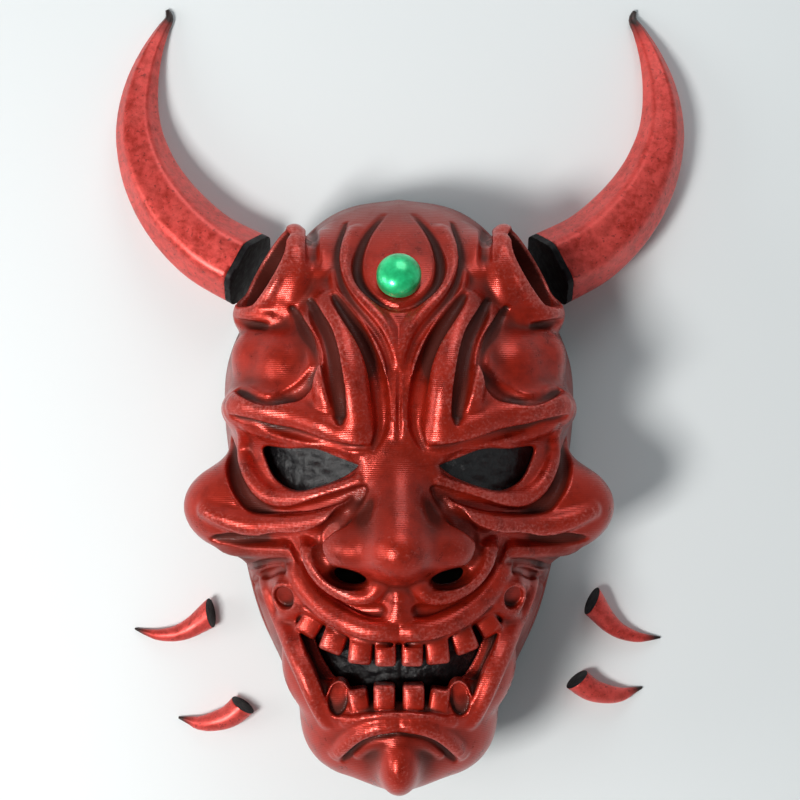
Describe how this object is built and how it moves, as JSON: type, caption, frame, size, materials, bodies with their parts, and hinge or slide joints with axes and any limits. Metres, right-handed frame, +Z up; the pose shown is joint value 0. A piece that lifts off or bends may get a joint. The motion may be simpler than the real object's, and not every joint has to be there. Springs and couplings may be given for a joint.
{
  "type": "horned demon mask",
  "caption": "Horned demon mask laid face up on its rim, with loose curved horns and fangs beside it, a forehead gem and fabric screens behind eyes and mouth.",
  "frame": {"origin": "middle of the whole layout's bounding box, on the table that the mask's rim lies on", "axes": "+Y from the chin to the crown, +Z up from the table out of the face, +X to the viewer's right when looking down on the face"},
  "size_m": [0.2255, 0.303, 0.106],
  "materials": {
    "red_paint": "printed plastic, hand-painted metallic red with a dark wash",
    "horn_paint": "printed plastic, mottled metallic red running to brown at the tip",
    "fang_paint": "printed plastic, metallic red running to brown at the tip",
    "black_base": "near-black, satin",
    "green_gem": "pearly polished cabochon",
    "black_fabric": "thin black knit",
    "magnet_steel": "plated disc magnet"
  },
  "bodies": {
    "mask": {"mask_shell": "red_paint", "forehead_gem": "green_gem", "mouth_screen": "black_fabric", "eye_screen_left": "black_fabric", "eye_screen_right": "black_fabric", "socket_magnet_left": "magnet_steel", "socket_magnet_right": "magnet_steel", "seat_magnet_upper_left": "magnet_steel", "seat_magnet_upper_right": "magnet_steel", "seat_magnet_lower_left": "magnet_steel", "seat_magnet_lower_right": "magnet_steel"},
    "left_horn": {"horn_left": "horn_paint", "horn_plug_left": "black_base", "horn_magnet_left": "magnet_steel"},
    "right_horn": {"horn_right": "horn_paint", "horn_plug_right": "black_base", "horn_magnet_right": "magnet_steel"},
    "upper_left_fang": {"fang_upper_left": "fang_paint", "fang_magnet_upper_left": "magnet_steel"},
    "upper_right_fang": {"fang_upper_right": "fang_paint", "fang_magnet_upper_right": "magnet_steel"},
    "lower_left_fang": {"fang_lower_left": "fang_paint", "fang_magnet_lower_left": "magnet_steel"},
    "lower_right_fang": {"fang_lower_right": "fang_paint", "fang_magnet_lower_right": "magnet_steel"}
  },
  "joints": [
    {"name": "horn_left_lift", "type": "slide", "parent": "mask", "child": "left_horn", "axis": [0, 0, 1], "range_m": [0, 0.12]},
    {"name": "horn_right_lift", "type": "slide", "parent": "mask", "child": "right_horn", "axis": [0, 0, 1], "range_m": [0, 0.12]},
    {"name": "fang_upper_left_lift", "type": "slide", "parent": "mask", "child": "upper_left_fang", "axis": [0, 0, 1], "range_m": [0, 0.12]},
    {"name": "fang_upper_right_lift", "type": "slide", "parent": "mask", "child": "upper_right_fang", "axis": [0, 0, 1], "range_m": [0, 0.12]},
    {"name": "fang_lower_left_lift", "type": "slide", "parent": "mask", "child": "lower_left_fang", "axis": [0, 0, 1], "range_m": [0, 0.12]},
    {"name": "fang_lower_right_lift", "type": "slide", "parent": "mask", "child": "lower_right_fang", "axis": [0, 0, 1], "range_m": [0, 0.12]}
  ]
}
